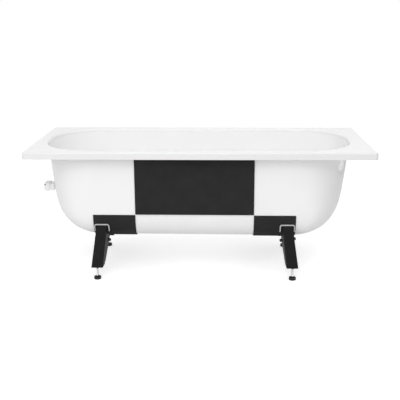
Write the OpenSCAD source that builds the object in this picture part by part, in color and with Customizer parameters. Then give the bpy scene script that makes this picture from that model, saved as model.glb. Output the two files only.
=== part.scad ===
// Enamelled steel bathtub on four black channel legs with screw feet.
// The origin is on the floor, under the middle of the rim. X runs along the tub, Y from front to back.
// Depths are measured down from the rim top, and a leg's own sizes from its web.

/* [Rim] */
// Overall length of the rim
tub_length = 1500; // [1400:10:1700]
// Overall width of the rim
tub_width = 700; // [680:5:800]
// Thickness of the enamelled sheet
sheet = 2.2; // [1.6:0.1:3]
// Radius of the rim's corners, seen from above
rim_corner = 14; // [11:1:30]
// Radius from the rim's top down to the lip
lip_round = 8; // [5:0.5:10]
// Height of the turned-down lip
lip_drop = 30.5; // [22:0.5:34]
// Radius from the rim's top down into the basin
bend = 14; // [8:1:18]

/* [Basin] */
// Depth from the rim top to the underside at mid length
tub_depth = 399.5; // [370:0.5:430]
// Fall of the bottom towards the drain, over the whole length
fall = 8.5; // [0:0.5:14]
// Ledge between the rim's edge and the basin's side wall
side_ledge = 51.5; // [46:0.5:62]
// Lean of the side walls in degrees
side_slope = 4.7; // [2:0.1:7]
// Width of the curve from side wall to bottom
side_reach = 87; // [75:1:100]
// Height of the curve from side wall to bottom
side_rise = 115; // [100:1:130]
// Ledge at the left end
left_ledge = 52.5; // [46:0.5:70]
// Lean of the left end wall in degrees
left_slope = 6.6; // [4:0.1:10]
// Length of the curve from left end wall to bottom
left_reach = 148; // [130:1:170]
// Height of the curve from left end wall to bottom
left_rise = 176; // [150:1:200]
// Ledge at the drain end
right_ledge = 73; // [60:0.5:90]
// Lean of the drain end wall in degrees
right_slope = 7.6; // [4:0.1:10]
// Length of the curve from drain end wall to bottom
right_reach = 159.5; // [140:0.5:180]
// Height of the curve from drain end wall to bottom
right_rise = 203; // [180:1:220]
// Length of the rounding in plan at the left end, at the rim
left_plan_top = 269; // [240:1:290]
// Length of the rounding in plan at the left end, at the bottom
left_plan_low = 110; // [100:1:125]
// Length of the rounding in plan at the drain end, at the rim
right_plan_top = 273; // [240:1:290]
// Length of the rounding in plan at the drain end, at the bottom
right_plan_low = 119; // [105:1:135]

/* [Drain and overflow] */
// Diameter of the drain hole
drain_hole = 52; // [40:1:60]
// Diameter of the pressed dish round the drain
drain_dish = 86; // [76:1:100]
// Depth of the dish
dish_depth = 8; // [4:0.5:12]
// Distance of the drain from the end of the flat bottom
drain_in = 66; // [60:1:90]
// Diameter of the overflow hole
overflow_hole = 52; // [40:1:60]
// Diameter of the flat seat round the overflow
overflow_seat = 76; // [70:1:90]
// Depth of the overflow's centre under the rim top
overflow_drop = 90; // [82:1:130]
// Distance of the overflow's centre in front of the centre line
overflow_ahead = 175; // [0:1:180]
// Turn of the overflow's seat towards the front, in degrees
overflow_turn = 8; // [0:0.5:10]

/* [Sound mats] */
// Thickness of the mats
mat_thick = 4.5; // [3:0.5:6]
// Height of the bottom mats' upper edge above the underside
mat_rise = 105.5; // [90:0.5:115]
// Gap between a side mat and the bottom mats' upper edge
mat_gap = 5; // [2:0.5:12]
// Upper edge of the side mats under the rim top
mat_top_drop = 36; // [30:1:60]
// Distance of the left mat's outer edge from the end of the flat bottom
mat_left_in = 37; // [30:1:50]
// Distance of the right mat's outer edge from the end of the flat bottom
mat_right_in = 46; // [36:1:56]
// Width of the left bottom mat
mat_left_width = 185; // [150:1:220]
// Width of the right bottom mat
mat_right_width = 183; // [150:1:220]

/* [Leg hoods] */
// Height of a hood's top above the tub's underside
hood_up = 67; // [60:1:71]
// Height of the hood's arm ends above the underside
arm_up = 31; // [29:1:44]
// Outer width of a hood
hood_width = 66; // [60:1:72]
// Wall of a hood
hood_wall = 4; // [3:0.5:5]
// Outer corner radius of a hood
hood_corner = 10; // [6:1:14]
// How far a hood stands out of the mat
hood_proud = 8; // [5:0.5:12]

/* [Legs] */
// Distance of a leg's head from the mat's outer edge
leg_in = 36.5; // [36:0.5:60]
// Extra distance outwards of the back left leg
back_left_shift = 16; // [0:1:18]
// Height of a leg from its plate's underside to its head
leg_height = 196; // [170:1:260]
// Play between a leg's head and the hood's arms, each side
head_play = 6.5; // [6:0.5:8]
// Room between the head and the mat
head_clear = 1; // [0.5:0.1:2]
// Sheet of the legs
leg_wall = 3; // [2:0.5:4]
// Bending radius of the legs, outside
leg_bend = 5; // [4:0.5:8]
// Outward lean of the legs in degrees
leg_lean = 7.6; // [0:0.1:8.4]
// Widening of a leg towards its foot, each side, in degrees
leg_taper = 0.9; // [0:0.1:1.2]
// Opening of each flange in degrees
leg_splay = 2.5; // [0:0.1:4]
// Depth of the foot plate
plate_depth = 48; // [44:1:56]
// Depth of the flanges at the heel
heel_depth = 70; // [60:1:84]
// Height of the heel above the plate's underside
heel_rise = 20; // [10:1:30]
// Distance of the bolt behind the web
bolt_back = 100; // [85:1:110]
// Distance of the bolt under the tub's underside
bolt_drop = 30; // [28:1:44]
// Radius of the ear round the bolt
ear_radius = 18; // [14:1:22]
// Diameter of the leg bolts
bolt_size = 8; // [6:1:10]
// Diameter of the small hole in the flanges
small_hole = 6; // [4:1:8]
// Height of the small hole above the plate
small_hole_up = 49; // [40:1:60]

/* [Leg lugs] */
// Sheet of the lugs
lug_wall = 3; // [2:0.5:4]
// Depth of a lug
lug_depth = 40; // [30:1:46]
// Room between lug and flange
lug_play = 1; // [0.5:0.1:2]

/* [Screw feet] */
// Height of the foot plate's underside above the floor
plate_height = 59.5; // [56:0.5:70]
// Diameter of the threaded stud
stud_size = 10; // [8:1:12]
// Wall of the bush round the stud
bush_wall = 1.2; // [1:0.1:2]
// How far the bush hangs under the plate
bush_hang = 9; // [7:0.5:16]
// Diameter of the bush's flange
bush_flange = 22; // [20:1:26]
// Thickness of the bush's flange
bush_flange_thick = 3; // [2:0.5:4]
// Distance of the foot behind the web
foot_back = 26; // [22:1:30]
// Distance of the foot outwards of the web's centre
foot_out = 2; // [0:0.5:4]
// Travel of the foot each way
foot_travel = 20; // [15:1:20]
// Width across the flats of the lock nuts
nut_flats = 17; // [15:1:19]
// Height of the lock nuts
nut_height = 8; // [6:1:10]
// Diameter of the pads
pad_size = 32; // [28:1:40]
// Height of the pads
pad_height = 16; // [16:0.5:20]
// Thickness of a pad's disc
pad_disc = 13; // [10:0.5:14]
// Diameter of a pad's neck
pad_neck = 15; // [14:1:18]

/* [Bonding terminal] */
// Depth of the terminal under the rim top
terminal_drop = 224; // [200:1:250]
// Width of the terminal across the tub
terminal_width = 65; // [50:1:80]
// Length of the inner block
block_long = 21; // [18:1:26]
// Height of the inner block
block_high = 31; // [26:1:36]
// Length of the outer cap
cap_long = 27; // [22:1:32]
// Height of the outer cap
cap_high = 36; // [30:1:42]
// Free length of the steel tab between wall and block
tab_free = 11; // [8:1:24]
// Width of the steel tab
tab_width = 30; // [20:1:40]
// Thickness of the steel tab
tab_thick = 3; // [2:0.5:4]

/* [Hidden] */

// Clearances
glue = 0.2;          // mat to shell
weld = 0.3;          // welded piece to shell
cut_room = 0.4;      // mat's cut edge to a welded piece
leg_room = 0.5;      // leg's flange edge to the mat
run_fit = 0.05;      // stud in its bush, nut and pad, on the radius
hole_room = 0.5;     // bolt in its hole, on the radius
seat = 0.05;         // faces that lie on each other
plenty = 400;        // reach of a cutting block
tiny = 0.01;         // overlap that joins two forms

// Powers of the rounded shapes: 2 is an ellipse, more is squarer
side_power = 2.26;
left_power = 2.24;
right_power = 2.65;
plan_power_top = 2.4;
plan_power_low = 1.9;
fall_power = 4;

// Numbers of steps in the shell's mesh
end_steps = 12;
mat_steps = 7;
block_steps = 4;
middle_steps = 4;
upper_rows = 6;
lower_rows = 11;
bend_rows = 4;
lip_rows = 3;
corner_steps = end_steps / 3;

// Heights
head_gap = 0.5;
rim_z = plate_height + leg_height + head_gap + hood_wall + tub_depth - hood_up;
head_z = plate_height + leg_height;
mat_off = glue + mat_thick;

// Ends of the flat bottom, and what stands on them
flat_left = -tub_length / 2 + left_ledge + tan(left_slope) * tub_depth + left_reach;
flat_right = tub_length / 2 - right_ledge - tan(right_slope) * tub_depth - right_reach;
mat_left_x = [flat_left + mat_left_in, flat_left + mat_left_in + mat_left_width];
mat_right_x = [flat_right - mat_right_in - mat_right_width, flat_right - mat_right_in];
drain_x = flat_right - drain_in;

// Points that share a line between two others
function between(a, b, n) = [for (i = [0:n - 1]) a + (b - a) * i / n];
stations = concat(between(mat_left_x[0], mat_left_x[1], mat_steps),
  between(mat_left_x[1], mat_right_x[0], middle_steps),
  between(mat_right_x[0], mat_right_x[1], mat_steps), [mat_right_x[1]]);
last_station = len(stations) - 1;
front_columns = last_station + 2 * end_steps;

// Inset of a wall from the rim's edge: a leaning line, then a rounded corner down to the bottom.
// t is how far the surface lies inside the outer one.
function corner_share(z, t, rise, power) =
  1 - pow(max(0, 1 - pow(max(0, (z - tub_depth + rise) / (rise - t)), power)), 1 / power);
function inset(z, t, ledge, slope, reach, rise, power) =
  ledge + t + tan(slope) * z + (reach - t) * corner_share(z, t, rise, power);
function side_inset(z, t) = inset(z, t, side_ledge, side_slope, side_reach, side_rise, side_power);

// Plan of the basin at a fraction f of its depth:
// left end, start of the left rounding, right end, start of the right rounding, half width, power
function plan(f, t) = let (
    z = (tub_depth - t) * f,
    a = -tub_length / 2 + inset(z, t, left_ledge, left_slope, left_reach, left_rise, left_power),
    b = tub_length / 2 - inset(z, t, right_ledge, right_slope, right_reach, right_rise, right_power))
  [a, a + left_plan_top + (left_plan_low - left_plan_top) * f,
   b, b - right_plan_top - (right_plan_low - right_plan_top) * f,
   tub_width / 2 - side_inset(z, t), plan_power_top + (plan_power_low - plan_power_top) * f];
// The same plan grown outwards all round
function grown(p, e) = [p[0] - e, p[1], p[2] + e, p[3], p[4] + e, p[5]];
function rounded(u, power) = pow(max(0, 1 - pow(min(1, max(0, u)), power)), 1 / power);
function half_width(x, p) = p[4] * (x < p[1] ? rounded((p[1] - x) / (p[1] - p[0]), p[5])
  : rounded((x - p[3]) / (p[2] - p[3]), p[5]));
function drop(x, f) = fall * x / tub_length * pow(f, fall_power);
function depth_z(x, f, t) = rim_z - (tub_depth - t) * f - drop(x, f);
function underside(x) = depth_z(x, 1, 0);

// X of column i on the front half, from the left end to the right end
function column_x(i, p) =
  i < end_steps ? p[0] + (stations[0] - p[0]) * pow(i / end_steps, 2)
  : i > end_steps + last_station
    ? p[2] - (p[2] - stations[last_station]) * pow((front_columns - i) / end_steps, 2)
  : stations[i - end_steps];
// A closed ring of the basin: along the front, then back along the rear
function closed_ring(half) = concat([for (q = half) [q[0], -q[1], q[2]]],
  [for (i = [front_columns - 1:-1:1]) half[i]]);
function basin_ring(f, t, e = 0, up = 0) = let (p = grown(plan(f, t), e))
  closed_ring([for (i = [0:front_columns]) let (x = column_x(i, p))
    [x, half_width(x, p), depth_z(x, f, t) + up]]);
// A point of the rim's outline, inset by off, for column i
function rim_end(k, off) = let (r = rim_corner - off, c = corner_steps,
    y = tub_width / 2 - rim_corner, x = tub_length / 2 - rim_corner)
  k <= c ? [x + r, y * k / c]
  : k <= 2 * c ? [x + r * cos(90 * (k - c) / c), y + r * sin(90 * (k - c) / c)]
  : [x, y + r];
function rim_point(i, off) =
  i <= 2 * corner_steps ? let (q = rim_end(i, off)) [-q[0], q[1]]
  : i >= front_columns - 2 * corner_steps ? rim_end(front_columns - i, off)
  : i < end_steps ? let (x = rim_corner - tub_length / 2)
    [x + (stations[0] - x) * (i - 2 * corner_steps) / corner_steps, tub_width / 2 - off]
  : i > front_columns - end_steps ? let (x = tub_length / 2 - rim_corner, s = stations[last_station])
    [s + (x - s) * (i - front_columns + end_steps) / corner_steps, tub_width / 2 - off]
  : [stations[i - end_steps], tub_width / 2 - off];
function rim_ring(off, down) = closed_ring([for (i = [0:front_columns])
  let (q = rim_point(i, off)) [q[0], q[1], rim_z - down]]);

// Fractions of the depth at which the rings lie, closer together near the bottom
bend_f = bend / tub_depth;
mat_f = (tub_depth - mat_rise) / (tub_depth + mat_off);
function rows(from, to, n) = let (a = asin(from), b = asin(to)) [for (k = [0:n]) sin(a + (b - a) * k / n)];
lower_f = rows(mat_f, 1, lower_rows);
wall_f = concat([for (k = [0:upper_rows - 1]) rows(bend_f, mat_f, upper_rows)[k]], lower_f);
function turned(list) = [for (i = [len(list) - 1:-1:0]) list[i]];

// Triangles between two neighbouring lines of a grid with n points a line
function strip(row, n, closed) = [for (j = [0:closed ? n - 1 : n - 2])
  let (a = row * n + j, b = row * n + (j + 1) % n) each [[a, b, b + n], [a, b + n, a + n]]];

module shell_sheet() {
  inner = [for (f = turned(wall_f)) basin_ring(f, sheet)];
  inner_bend = [for (k = [1:bend_rows]) let (a = 90 * k / bend_rows)
    basin_ring(bend_f, sheet, bend * (1 - cos(a)), bend * sin(a) - sheet * bend_f)];
  lip = [for (k = [0:lip_rows]) let (a = 90 * k / lip_rows)
    rim_ring(lip_round * (1 - sin(a)), lip_round * (1 - cos(a)))];
  r = lip_round - sheet;
  lip_inside = [for (k = [lip_rows:-1:0]) let (a = 90 * k / lip_rows)
    rim_ring(sheet + r * (1 - sin(a)), sheet + r * (1 - cos(a)))];
  outer_bend = [for (k = [bend_rows:-1:1]) let (a = 90 * k / bend_rows)
    basin_ring(bend_f, 0, (bend - sheet) * (1 - cos(a)), (bend - sheet) * sin(a))];
  outer = [for (f = wall_f) basin_ring(f, 0)];
  rings = concat(inner, inner_bend, lip, [rim_ring(0, lip_drop), rim_ring(sheet, lip_drop)],
    lip_inside, outer_bend, outer);
  n = len(rings[0]);
  polyhedron([for (g = rings) each g],
    concat([[for (j = [n - 1:-1:0]) j]],
      [for (k = [0:len(rings) - 2]) each strip(k, n, true)],
      [[for (j = [0:n - 1]) (len(rings) - 1) * n + j]]));
}

// A closed skin between two grids of points, given as lines of equal length
module skin(inside, outside) {
  m = len(outside);
  n = len(outside[0]);
  o = m * n;
  sheets = [for (i = [0:m - 2]) each strip(i, n, false)];
  // pairs of neighbouring points round the grid's edge, in the sheets' own order
  edge = concat([for (i = [0:m - 2]) [(i + 1) * n, i * n]],
    [for (i = [0:m - 2]) [i * n + n - 1, (i + 1) * n + n - 1]],
    [for (j = [0:n - 2]) [j, j + 1]],
    [for (j = [0:n - 2]) [(m - 1) * n + j + 1, (m - 1) * n + j]]);
  polyhedron([for (g = outside) each g, for (g = inside) each g],
    concat([for (t = sheets) [t[2], t[1], t[0]]],
      [for (t = sheets) [t[0] + o, t[1] + o, t[2] + o]],
      [for (e = edge) each [[e[0], e[1], e[1] + o], [e[0], e[1] + o, e[0] + o]]]));
}

// Points down the front wall at one X, on the surface t inside the outer one
function front_line(x, t, fractions) = [for (f = fractions)
  [x, -half_width(x, plan(f, t)), depth_z(x, f, t)]];
function wrapped_line(x, t, fractions) = let (g = front_line(x, t, fractions))
  concat(g, [for (q = turned(g)) [q[0], -q[1], q[2]]]);

// The tub's front half as a solid block, grown by off, along the outer part of one bottom mat and past it
function moved(line, x) = [for (q = line) q + [x, 0, 0]];
module tub_block(sx, off) {
  edges = sx < 0 ? mat_left_x : mat_right_x;
  columns = concat(between(edges[0], edges[1], mat_steps), [edges[1]]);
  first = sx < 0 ? 0 : mat_steps - block_steps;
  x = [for (i = [first:first + block_steps]) columns[i]];
  face = [for (v = x) front_line(v, -off, lower_f)];
  middle = [for (v = x) [for (f = lower_f) [v, 0, depth_z(v, f, -off)]]];
  if (sx < 0) skin(concat([moved(middle[0], -hood_width)], middle),
    concat([moved(face[0], -hood_width)], face));
  else skin(concat(middle, [moved(middle[block_steps], hood_width)]),
    concat(face, [moved(face[block_steps], hood_width)]));
}

// Places of the four legs: side is -1 for left or front, 1 for right or back
function hood_x(sx, sy) = sx > 0 ? mat_right_x[1] - leg_in
  : mat_left_x[0] + leg_in - (sy > 0 ? back_left_shift : 0);
web_y = -tub_width / 2 + side_inset(rim_z - head_z, 0) - mat_off - head_clear - leg_wall;
leg_width = hood_width - 2 * hood_wall - 2 * head_play;
module at_back(sy) { mirror([0, sy > 0 ? 1 : 0, 0]) children(); }
module at_hood(sx, sy) {
  at_back(sy) translate([hood_x(sx, sy), 0, 0]) mirror([sx > 0 ? 1 : 0, 0, 0]) children();
}
// The leg's own frame: head at the origin, web in front, leaning outwards
module leaning() { translate([0, web_y, head_z]) rotate([0, leg_lean, 0]) children(); }

function arc(cx, cy, r, from, to, n = 6) = [for (k = [0:n]) let (a = from + (to - from) * k / n)
  [cx + r * cos(a), cy + r * sin(a)]];

// Outline of a hood in front view, shrunk by e, with its top at the hood's top
module hood_outline(e) {
  half = hood_width / 2 - e;
  r = hood_corner - e;
  top = head_z + head_gap + hood_wall - e;
  low = rim_z - tub_depth + arm_up;
  polygon(concat(arc(half - r, top - r, r, 0, 90), arc(r - half, top - r, r, 90, 180),
    [[-half, low - max(0, e)], [half, low - max(0, e)]]));
}
module hood_strip(e) {
  reach = tub_width / 4;
  translate([0, reach - tub_width / 2, 0]) rotate([90, 0, 0]) linear_extrude(reach) difference() {
    hood_outline(-e);
    hood_outline(hood_wall + e);
  }
}
module leg_hood(sx, sy) {
  color([0.72, 0.72, 0.7]) difference() {
    intersection() {
      at_hood(sx, sy) hood_strip(0);
      at_back(sy) tub_block(sx, mat_off + hood_proud);
    }
    at_back(sy) tub_block(sx, weld);
  }
}

// Sound mats
module side_mat() {
  top = mat_top_drop / (tub_depth + mat_off);
  low = (tub_depth - mat_rise - mat_gap) / (tub_depth + mat_off);
  f = rows(top, low, upper_rows);
  x = concat(between(mat_left_x[1], mat_right_x[0], middle_steps), [mat_right_x[0]]);
  skin([for (v = x) front_line(v, -glue, f)], [for (v = x) front_line(v, -mat_off, f)]);
}
module bottom_mat(edges, sx) {
  x = concat(between(edges[0], edges[1], mat_steps), [edges[1]]);
  difference() {
    skin([for (v = x) wrapped_line(v, -glue, lower_f)], [for (v = x) wrapped_line(v, -mat_off, lower_f)]);
    for (sy = [-1, 1]) {
      at_hood(sx, sy) hood_strip(cut_room);
      at_hood(sx, sy) translate([lug_x, web_y + bolt_back, underside(hood_x(sx, sy))])
        cube([lug_width + 2 * lug_shift + 2 * cut_room, lug_depth + 2 * cut_room, plenty / 4], center = true);
    }
    if (sx > 0) translate([drain_x, 0, underside(drain_x)])
      cylinder(d = drain_dish + 2 * mat_off, h = 4 * mat_off, center = true, $fn = 48);
  }
}

// Lug, welded under the flat bottom inside the leg's channel
bolt_z = rim_z - tub_depth - bolt_drop;
bolt_down = (head_z - bolt_z) / cos(leg_lean);
lug_down = head_z - rim_z + tub_depth;
lug_x = -lug_down * tan(leg_lean);
lug_shift = 2 * mat_off * tan(leg_lean);
lug_width = leg_width - 2 * leg_wall - 2 * lug_play
  + 2 * tan(leg_splay) * (bolt_back - lug_depth / 2) + 2 * tan(leg_taper) * lug_down;
lug_dip = fall * lug_width / tub_length;
module bolt_hole() {
  leaning() translate([0, bolt_back, -bolt_down]) rotate([0, 90, 0])
    cylinder(d = bolt_size + 2 * hole_room, h = plenty / 2, center = true, $fn = 32);
}
module leg_lug(sx, sy) {
  rise = bolt_drop + 3 * mat_off;
  color([0.66, 0.66, 0.64]) difference() {
    at_hood(sx, sy) difference() {
      union() {
        for (s = [-1, 1]) leaning() translate([s * (lug_width - lug_wall) / 2, bolt_back, -bolt_down]) {
          rotate([0, 90, 0]) cylinder(r = lug_depth / 3, h = lug_wall, center = true, $fn = 32);
          translate([-lug_wall / 2, -lug_depth / 3, 0]) cube([lug_wall, 2 * lug_depth / 3, rise]);
        }
        translate([lug_x - lug_width / 2, web_y + bolt_back - lug_depth / 2,
          underside(hood_x(sx, sy)) - lug_wall - lug_dip]) cube([lug_width, lug_depth, rise]);
      }
      bolt_hole();
    }
    at_back(sy) tub_block(sx, weld);
  }
}

// Legs: a pressed channel, open to the rear, with a foot plate
module channel_slice(w, depth, r, down) {
  side = tan(leg_splay) * depth;
  half = w / 2 + tan(leg_taper) * down;
  translate([0, 0, -down]) linear_extrude(tiny) polygon(concat(
    arc(r - half, r, r, 180, 270), arc(half - r, r, r, 270, 360),
    [[half + side, depth], [-half - side, depth]]));
}
module channel(w, depth, r) {
  past = leg_height / 4;
  hull() {
    channel_slice(w, depth, r, -past);
    channel_slice(w, depth, r, leg_height + past);
  }
}
// Side view of a leg, with Y behind the web and Z above the floor
module leg_side() {
  far = plenty / 2;
  translate([-far, web_y, 0]) rotate([90, 0, 90]) linear_extrude(2 * far) {
    polygon([[0, head_z], [0, plate_height], [plate_depth, plate_height],
      [heel_depth, plate_height + heel_rise], [bolt_back + ear_radius, bolt_z],
      [bolt_back, bolt_z + ear_radius]]);
    translate([bolt_back, bolt_z]) circle(r = ear_radius, $fn = 48);
  }
}
module leg(sx, sy) {
  inner_w = leg_width - 2 * leg_wall;
  color([0.12, 0.12, 0.125]) difference() {
    at_hood(sx, sy) difference() {
      intersection() {
        leaning() channel(leg_width, plenty / 2, leg_bend);
        leg_side();
      }
      intersection() {
        leaning() translate([0, leg_wall, 0])
          channel(inner_w + 2 * tan(leg_splay) * leg_wall, plenty, leg_bend - leg_wall);
        translate([-plenty / 2, -tub_width, plate_height + leg_wall]) cube([plenty, 2 * tub_width, plenty]);
      }
      bolt_hole();
      leaning() translate([0, plate_depth, -(leg_height - small_hole_up) / cos(leg_lean)]) rotate([0, 90, 0])
        cylinder(d = small_hole, h = plenty / 2, center = true, $fn = 24);
      at_foot() cylinder(r = bush_radius + run_fit, h = 3 * plate_height, center = true, $fn = 48);
    }
    at_back(sy) tub_block(sx, mat_off + leg_room);
  }
}

// Bolts through ears and lug, with hexagon flange heads outside and nuts towards the tub's middle
bolt_seat = leg_width / 2 + tan(leg_splay) * (bolt_back + bolt_size)
  + tan(leg_taper) * (bolt_down + bolt_size) + seat;
bolt_flats = 1.6 * bolt_size;
bolt_head = 0.75 * bolt_size;
bolt_flange = 1.05 * bolt_size;
bolt_flange_thick = 0.2 * bolt_size;
bolt_past = 1.25 * bolt_size;
module hexagon(flats, h) { cylinder(d = flats / cos(30), h = h, $fn = 6); }
module hexagon_flange(h) {
  cylinder(r = bolt_flange, h = bolt_flange_thick, $fn = 32);
  hexagon(bolt_flats, h);
}
module at_bolt(side) { leaning() translate([0, bolt_back, -bolt_down]) rotate([0, side * 90, 0]) children(); }
module leg_bolt() {
  at_bolt(-1) {
    translate([0, 0, -bolt_seat - bolt_past])
      cylinder(d = bolt_size, h = 2 * bolt_seat + bolt_past + tiny, $fn = 32);
    translate([0, 0, bolt_seat]) hexagon_flange(bolt_head);
  }
}
module leg_bolt_nut() {
  at_bolt(1) translate([0, 0, bolt_seat]) difference() {
    hexagon_flange(bolt_size);
    cylinder(r = bolt_size / 2 + run_fit, h = plenty, center = true, $fn = 32);
  }
}

// Screw feet
bush_radius = stud_size / 2 + run_fit + bush_wall;
module at_foot() {
  translate([-leg_height * tan(leg_lean) - foot_out, web_y + foot_back, 0]) children();
}
module foot_bush() {
  floor_z = plate_height + leg_wall + seat;
  at_foot() difference() {
    union() {
      translate([0, 0, plate_height - bush_hang])
        cylinder(r = bush_radius, h = bush_hang + leg_wall + 2 * seat, $fn = 48);
      translate([0, 0, floor_z]) cylinder(d = bush_flange, h = bush_flange_thick, $fn = 48);
    }
    cylinder(r = stud_size / 2 + run_fit, h = 3 * plate_height, center = true, $fn = 48);
  }
}
nut_z = plate_height + leg_wall + bush_flange_thick + 2 * seat;
nut_corner = 1.25 * nut_flats;
nut_crown = 1.05 * nut_flats;
module lock_nut() {
  at_foot() translate([0, 0, nut_z]) difference() {
    intersection() {
      hexagon(nut_flats, nut_height);
      cylinder(d1 = nut_corner, d2 = nut_crown, h = nut_height, $fn = 48);
    }
    cylinder(r = stud_size / 2 + run_fit, h = 3 * nut_height, center = true, $fn = 48);
  }
}
socket_z = pad_disc / 2;
stud_spare = 3;
stud_top = nut_z + nut_height + foot_travel + stud_spare;
module foot_stud(sx, sy) {
  chamfer = 1;
  color([0.8, 0.81, 0.82]) at_hood(sx, sy) at_foot() rotate_extrude($fn = 48) polygon([
    [0, socket_z + seat], [stud_size / 2, socket_z + seat], [stud_size / 2, stud_top - chamfer],
    [stud_size / 2 - chamfer, stud_top], [0, stud_top]]);
}
module foot_pad(sx, sy) {
  edge = 1.5;
  r = pad_size / 2;
  color([0.08, 0.08, 0.085]) at_hood(sx, sy) at_foot() rotate_extrude($fn = 64) polygon(concat(
    [[0, 0], [r - edge, 0], [r, edge]], arc(r - edge, pad_disc - edge, edge, 0, 90, 3),
    [[pad_neck / 2 + edge, pad_disc + edge], [pad_neck / 2, pad_height],
     [stud_size / 2 + run_fit, pad_height], [stud_size / 2 + run_fit, socket_z], [0, socket_z]]));
}

// Each foot's copies
module at_all_feet() { for (sx = [-1, 1], sy = [-1, 1]) at_hood(sx, sy) children(); }

// Bonding terminal on the left end wall: steel tab, two-part plastic housing and its screw
wall_x = -tub_length / 2 + inset(terminal_drop, 0, left_ledge, left_slope, left_reach, left_rise, left_power);
terminal_z = rim_z - terminal_drop;
module soft_box(long, wide, high, r) {
  translate([-long, 0, 0]) linear_extrude(high, center = true) polygon(concat(
    arc(long - r, wide / 2 - r, r, 0, 90, 4), arc(r, wide / 2 - r, r, 90, 180, 4),
    arc(r, r - wide / 2, r, 180, 270, 4), arc(long - r, r - wide / 2, r, 270, 360, 4)));
}
housing_round = 4;
tab_grip = 15;
screw_radius = 1.5;
screw_long = 14;
screw_head = 2.6;
screw_head_thick = 2;
// On the cap's front face near its outer upper corner, with Z into the cap
module at_terminal_screw() {
  translate([wall_x - tab_free - block_long - cap_long + housing_round + screw_radius,
    -terminal_width / 2, terminal_z + cap_high / 3]) rotate([-90, 0, 0]) children();
}

module tub_shell() {
  color([0.93, 0.93, 0.92]) {
    difference() {
      shell_sheet();
      translate([drain_x, 0, underside(drain_x)])
        cylinder(d = drain_dish - sheet, h = dish_depth + 4 * sheet, center = true, $fn = 64);
      at_seat()
        cylinder(d = overflow_seat - sheet, h = 2 * (seat_deep + 2 * sheet), center = true, $fn = 64);
    }
    drain_cup();
    overflow_cup();
  }
}
module drain_cup() {
  r = drain_dish / 2;
  top = sheet + fall * r / tub_length;
  translate([drain_x, 0, underside(drain_x)]) rotate_extrude($fn = 64) polygon([
    [r - sheet, top], [r, top], [r, -dish_depth / 2], [r - dish_depth / 2, -dish_depth],
    [drain_hole / 2, -dish_depth], [drain_hole / 2, sheet - dish_depth],
    [r - dish_depth / 2 - sheet / 2, sheet - dish_depth], [r - sheet, -dish_depth / 2 + sheet / 2]]);
}

// Overflow: a flat seat pressed into the rounded drain end, and turned a little towards the front
overflow_f = overflow_drop / tub_depth;
function wall_point(y, f) = let (p = plan(f, 0))
  [p[3] + (p[2] - p[3]) * rounded(abs(y) / p[4], p[5]), y, depth_z(p[2], f, 0)];
overflow_at = wall_point(-overflow_ahead, overflow_f);
overflow_out = let (a = wall_point(tiny - overflow_ahead, overflow_f) - overflow_at,
  b = wall_point(-overflow_ahead, overflow_f + tiny) - overflow_at, c = cross(b, a)) c / norm(c);
module facing(turn) {
  rotate([0, acos(overflow_out[2]), atan2(overflow_out[1], overflow_out[0]) - turn]) children();
}
// The seat's centre lies inside the wall, so that its rear edge is flush and its front edge sunk
seat_sink = 8;
seat_deep = seat_sink + overflow_seat / 2 * sin(overflow_turn);
seat_proud = 0.5;
module at_seat() { translate(overflow_at - seat_sink * overflow_out) facing(overflow_turn) children(); }
module overflow_cup() {
  r = overflow_seat / 2;
  intersection() {
    at_seat() translate([0, 0, -sheet]) difference() {
      cylinder(r = r, h = sheet + 2 * seat_deep, $fn = 64);
      translate([0, 0, sheet]) cylinder(r = r - sheet, h = plenty, $fn = 64);
      cylinder(d = overflow_hole, h = plenty, center = true, $fn = 64);
    }
    translate(overflow_at) facing(0) translate([0, 0, seat_proud - plenty / 2]) cube(plenty, center = true);
  }
}

module side_mat_front() { color([0.13, 0.13, 0.135]) side_mat(); }
module side_mat_back() { color([0.13, 0.13, 0.135]) at_back(1) side_mat(); }
module bottom_mat_left() { color([0.13, 0.13, 0.135]) bottom_mat(mat_left_x, -1); }
module bottom_mat_right() { color([0.13, 0.13, 0.135]) bottom_mat(mat_right_x, 1); }
module leg_bolts() { color([0.7, 0.71, 0.72]) at_all_feet() leg_bolt(); }
module leg_bolt_nuts() { color([0.7, 0.71, 0.72]) at_all_feet() leg_bolt_nut(); }
module foot_bushes() { color([0.05, 0.05, 0.055]) at_all_feet() foot_bush(); }
module lock_nuts() { color([0.7, 0.71, 0.72]) at_all_feet() lock_nut(); }
module terminal_lug() {
  color([0.75, 0.76, 0.77])
    translate([wall_x - tab_free - tab_grip, -tab_width / 2, terminal_z - tab_thick / 2])
      cube([tab_free + tab_grip - weld, tab_width, tab_thick]);
}
module terminal_block() {
  color([0.93, 0.93, 0.93]) translate([wall_x - tab_free, 0, terminal_z]) difference() {
    soft_box(block_long - seat, terminal_width, block_high, housing_round);
    translate([-tab_grip - seat, -tab_width / 2 - seat, -tab_thick / 2 - seat])
      cube([2 * tab_grip, tab_width + 2 * seat, tab_thick + 2 * seat]);
  }
}
module terminal_cap() {
  color([0.95, 0.95, 0.95]) difference() {
    translate([wall_x - tab_free - block_long, 0, terminal_z])
      soft_box(cap_long, terminal_width, cap_high, housing_round);
    at_terminal_screw()
      cylinder(r = screw_radius + run_fit, h = 2 * (screw_long + hole_room), center = true, $fn = 32);
  }
}
module terminal_screw() {
  color([0.35, 0.35, 0.36]) at_terminal_screw() {
    translate([0, 0, -seat - tiny]) cylinder(r = screw_radius, h = screw_long, $fn = 32);
    translate([0, 0, -seat - screw_head_thick]) cylinder(r = screw_head, h = screw_head_thick, $fn = 32);
  }
}

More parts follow.
